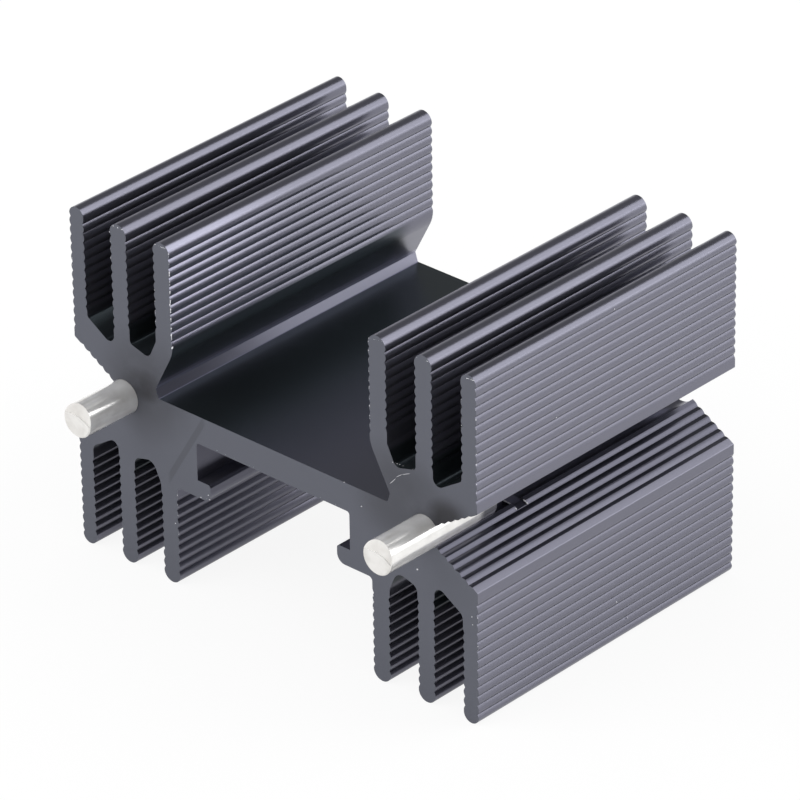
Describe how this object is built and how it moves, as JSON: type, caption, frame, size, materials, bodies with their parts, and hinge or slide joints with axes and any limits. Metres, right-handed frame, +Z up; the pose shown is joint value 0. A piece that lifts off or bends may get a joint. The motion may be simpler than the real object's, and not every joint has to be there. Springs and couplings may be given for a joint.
{
  "type": "heat sink",
  "caption": "Extruded black aluminium heat sink for a circuit board, with ribbed fins above and below a web, a clip channel and staked solder pins.",
  "frame": {"origin": "on the plane that the lower fins' tips rest on, under the middle of the sink and its pins", "axes": "+X across the fins, +Y along the extrusion away from the pins' free ends, +Z up from the lower fins to the upper ones"},
  "size_m": [0.035, 0.0292, 0.025],
  "materials": {
    "anodised_body": "black anodised, satin, with fine drawing lines; the sawn ends are matt",
    "tinned_pin": "bright tin plate"
  },
  "bodies": {
    "root": {"heat_sink_body": "anodised_body", "solder_pin_left": "tinned_pin", "solder_pin_right": "tinned_pin"}
  },
  "joints": []
}
